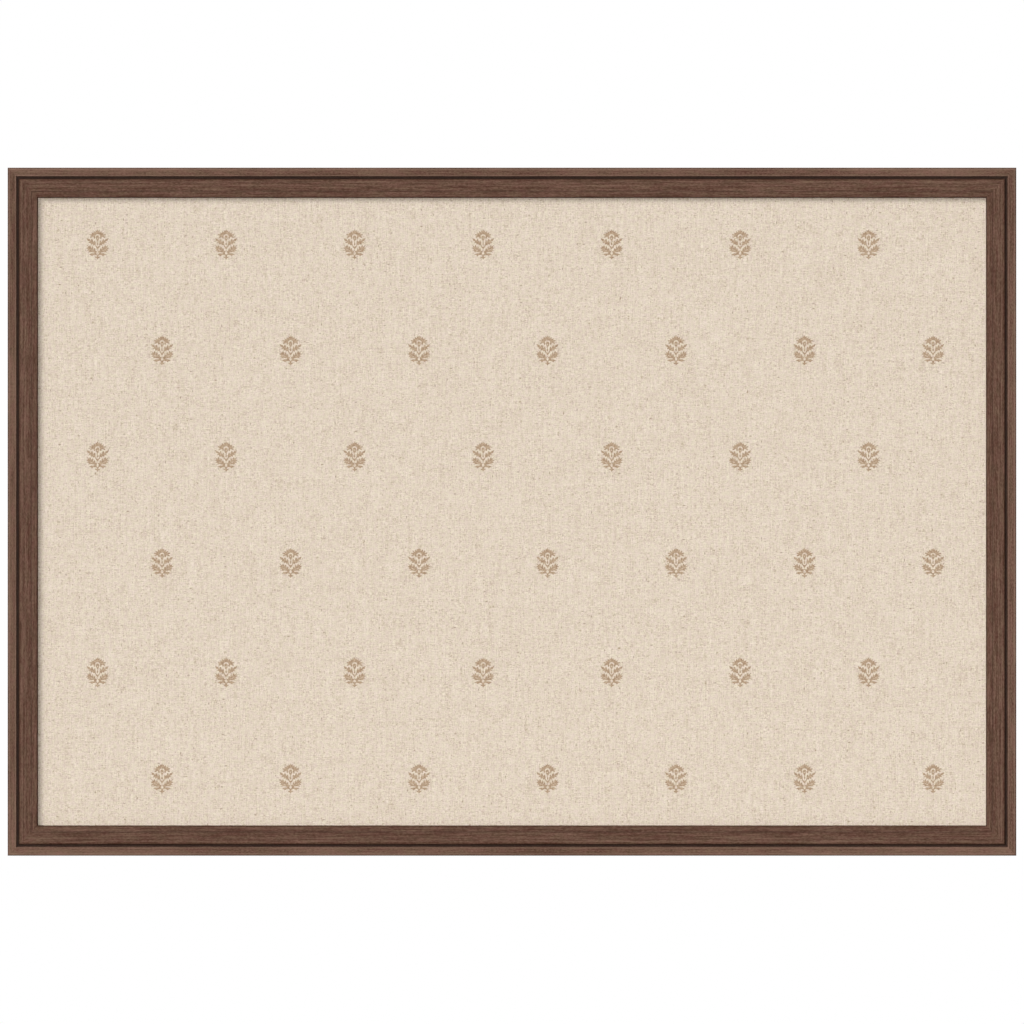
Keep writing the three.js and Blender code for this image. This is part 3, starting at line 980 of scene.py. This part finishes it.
bpy.ops.object.select_all(action="DESELECT")
bpy.ops.mesh.primitive_uv_sphere_add(
    segments=head_sides, ring_count=head_rings, radius=head_radius,
    location=(0, under_head + head_rim, 0), rotation=(math.radians(90), 0, 0),
    scale=(1, 1, head_dome / head_radius),
)
screw = bpy.context.object
bpy.ops.object.transform_apply(location=True, rotation=True, scale=True)
bpy.ops.object.mode_set(mode="EDIT")
cut_across((0, under_head + head_rim, 0), normal=(0, 1, 0), clear_inner=True)
pick("EDGE", lambda at: near(at.y, under_head + head_rim))
outline_steps = [
    (head_rim, 1),
    (0, shank_radius / head_radius),
    (screw_length - point_length, 1),
    (point_length, point_radius / shank_radius),
]
for down, narrower in outline_steps:
    bpy.ops.mesh.extrude_edges_move(TRANSFORM_OT_translate={"value": (0, -down, 0)})
    bpy.ops.transform.resize(value=(narrower, 1, narrower), center_override=(0, 0, 0))
bpy.ops.mesh.edge_face_add()
weld()
bpy.ops.object.mode_set(mode="OBJECT")
head_top = under_head + head_rim + head_dome
bpy.ops.mesh.primitive_cube_add(
    size=1, location=(0, head_top + (tool_above - recess_deep) / 2, 0),
    scale=(recess_wide, recess_deep + tool_above, recess_wide),
)
cross = bpy.context.object
bpy.ops.object.transform_apply(location=True, scale=True)
bpy.ops.object.mode_set(mode="EDIT")
pick("FACE", lambda at: math.hypot(at.x, at.z) > 0.4 * recess_wide)
bpy.ops.mesh.extrude_faces_move(
    TRANSFORM_OT_shrink_fatten={"value": (recess_long - recess_wide) / 2}
)
pick("VERT", lambda at: near(at.y, head_top - recess_deep))
bpy.ops.transform.resize(value=(recess_taper, 1, recess_taper), center_override=(0, 0, 0))
bpy.ops.object.mode_set(mode="OBJECT")
cut_with(screw, cross)
bpy.data.objects.remove(cross)
finish_faces(screw, angle=35)
paint(screw, zinc)
for side, sign in sides:
    for level, height, turn in zip(("upper", "lower"), screw_heights, screw_turns):
        screw.rotation_euler = (0, math.radians(sign * turn), 0)
        piece = copy_at(screw, f"pan_screw_{side}_{level}", (sign * hanger_middle, 0, height))
        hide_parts(f"hanger_screw_{side}_{level}")
        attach(piece, "board")
bpy.data.objects.remove(screw)


# The bumpers. Two moulded rubber domes with a flat top, glued to the back of the bottom rail.
# They keep the board off the wall.

bumper_radius = 5.5 * mm
bumper_rim = 1.8 * mm
bumper_flat = 3.0 * mm
bumper_height = 5.0 * mm
dome_steps = 8
bumper_sides = 40
bumper_across = 431.45 * mm
bumper_up = -316.325 * mm

bpy.ops.object.select_all(action="DESELECT")
bpy.ops.mesh.primitive_cylinder_add(
    vertices=bumper_sides, radius=bumper_radius, depth=bumper_rim,
    location=(0, wood_back + bumper_rim / 2, 0), rotation=(math.radians(90), 0, 0),
)
bumper = bpy.context.object
bpy.ops.object.transform_apply(location=True, rotation=True)
bpy.ops.object.mode_set(mode="EDIT")
pick("FACE", lambda at: near(at.y, wood_back + bumper_rim))
radius, height = bumper_radius, 0
for step in range(1, dome_steps + 1):
    share = step / dome_steps
    next_radius = bumper_radius + (bumper_flat - bumper_radius) * share**2
    next_height = (bumper_height - bumper_rim) * (2 * share - share**2)
    rise = next_height - height
    bpy.ops.mesh.extrude_region_move(TRANSFORM_OT_translate={"value": (0, rise, 0)})
    narrower = next_radius / radius
    bpy.ops.transform.resize(value=(narrower, 1, narrower), center_override=(0, 0, 0))
    radius, height = next_radius, next_height
bpy.ops.object.mode_set(mode="OBJECT")
finish_faces(bumper, angle=35)

rubber, place = finish("moulded_rubber")
bloom = noise(place, 2.2 * mm, 3)
pores = noise(place, 0.25 * mm, 1)
skin = (0.7 * bloom + 0.3 * pores).rise(0.3, 0.75).blend(colour(34, 33, 32), colour(66, 64, 62))
surface(place, {
    "Base Color": skin, "Roughness": 0.45 + 0.2 * bloom, "Specular IOR Level": 0.35,
    "Normal": relief(pores, 0.3, 0.04 * mm),
})
paint(bumper, rubber)
for side, sign in sides:
    piece = copy_at(bumper, "rubber_foot_" + side, (sign * bumper_across, 0, bumper_up))
    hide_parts("bumper_" + side)
    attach(piece, "board")
bpy.data.objects.remove(bumper)
